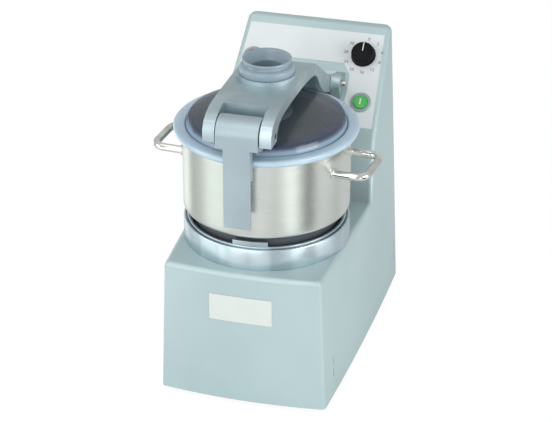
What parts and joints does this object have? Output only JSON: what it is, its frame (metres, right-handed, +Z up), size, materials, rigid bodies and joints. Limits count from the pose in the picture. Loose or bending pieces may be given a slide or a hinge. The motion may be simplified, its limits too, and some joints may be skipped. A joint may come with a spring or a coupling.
{
  "type": "vertical cutter mixer",
  "caption": "Table-top vertical cutter mixer with a steel bowl, spinning blades, a clear lid on a hinged cast arm with a latch lever, speed knob and push buttons",
  "frame": {"origin": "On the table in the middle of the whole part's width and depth", "axes": "+X to the right seen from the front, +Y from the front to the back, +Z up"},
  "size_m": [0.3982, 0.556, 0.584],
  "materials": {
    "casing": "satin pale blue-grey",
    "base_plate": "satin grey",
    "rubber": "matte black",
    "screw": "plated",
    "overlay": "pale printed film, left bare of words",
    "cast_aluminium": "satin cast",
    "machined_aluminium": "turned",
    "copper_winding": "varnished winding and laminations",
    "motor_paint": "grey",
    "bearing_steel": "ground",
    "electronics": "dark plastic case",
    "bezel": "grey-green",
    "bowl_steel": "brushed stainless",
    "chrome": "polished",
    "black_plastic": "matte black",
    "hub_plastic": "dark grey",
    "blade_steel": "ground",
    "clear_lid": "smoky clear plastic",
    "seal": "translucent blue",
    "funnel_plastic": "dark grey-blue",
    "lever": "satin",
    "pointer": "white line",
    "green": "green",
    "red": "red"
  },
  "bodies": {
    "machine": {"casing": "casing", "base_plate": "base_plate", "rubber_feet": "rubber", "foot_screws": "screw", "control_overlay": "overlay", "name_plate": "overlay", "seat_gasket": "rubber", "seat_ring": "machined_aluminium", "locating_lugs": "cast_aluminium", "motor_flange": "cast_aluminium", "stator_winding": "copper_winding", "motor_body": "motor_paint", "lower_shield": "cast_aluminium", "upper_bearing": "bearing_steel", "lower_bearing": "bearing_steel", "shaft_seal": "rubber", "speed_controller": "electronics", "controller_heatsink": "cast_aluminium", "potentiometer": "electronics", "switch_blocks": "electronics", "button_bezels": "bezel", "hinge_bracket": "cast_aluminium", "hinge_pin": "chrome", "lid_switch": "electronics", "rear_cover": "casing", "cover_screws": "screw", "cable_gland": "black_plastic", "bowl": "bowl_steel", "bowl_skirt": "black_plastic", "bowl_tube": "bowl_steel", "bowl_handles": "chrome", "bowl_catch": "chrome"},
    "rotor": {"motor_shaft": "bearing_steel", "rotor_core": "bearing_steel", "cooling_fan": "black_plastic", "blade_hub": "hub_plastic", "lower_blade": "blade_steel", "blade_spacer": "hub_plastic", "upper_blade": "blade_steel", "hub_cap": "black_plastic"},
    "lid_arm": {"arm_casting": "cast_aluminium", "lid": "clear_lid", "lid_seal": "seal", "feed_funnel": "funnel_plastic", "funnel_nut": "funnel_plastic", "latch_pin": "chrome", "lid_magnet": "black_plastic"},
    "latch": {"latch_lever": "lever"},
    "knob": {"speed_knob": "black_plastic", "knob_pointer": "pointer"},
    "start": {"start_button": "green"},
    "stop": {"stop_button": "red"}
  },
  "joints": [
    {"name": "blade_spin", "type": "hinge", "parent": "machine", "child": "rotor", "pos_m": [0, -0.1008, 0.2], "axis": [0, 0, 1], "continuous": true},
    {"name": "lid_arm_hinge", "type": "hinge", "parent": "machine", "child": "lid_arm", "pos_m": [0, 0.145, 0.442], "axis": [-1, 0, 0], "range_deg": [0, 95]},
    {"name": "latch_hinge", "type": "hinge", "parent": "lid_arm", "child": "latch", "pos_m": [0, -0.25, 0.514], "axis": [-1, 0, 0], "range_deg": [0, 80]},
    {"name": "speed_turn", "type": "hinge", "parent": "machine", "child": "knob", "pos_m": [0.095, 0.20457, 0.47486], "axis": [0, 0.6868, -0.7269], "range_deg": [0, 300]},
    {"name": "start_press", "type": "slide", "parent": "machine", "child": "start", "axis": [0, 0.6868, -0.7269], "range_m": [0, 0.0025], "stiffness_N_per_m": 500, "springref_m": -0.001},
    {"name": "stop_press", "type": "slide", "parent": "machine", "child": "stop", "axis": [0, 0.6868, -0.7269], "range_m": [0, 0.0025], "stiffness_N_per_m": 500, "springref_m": -0.001}
  ]
}
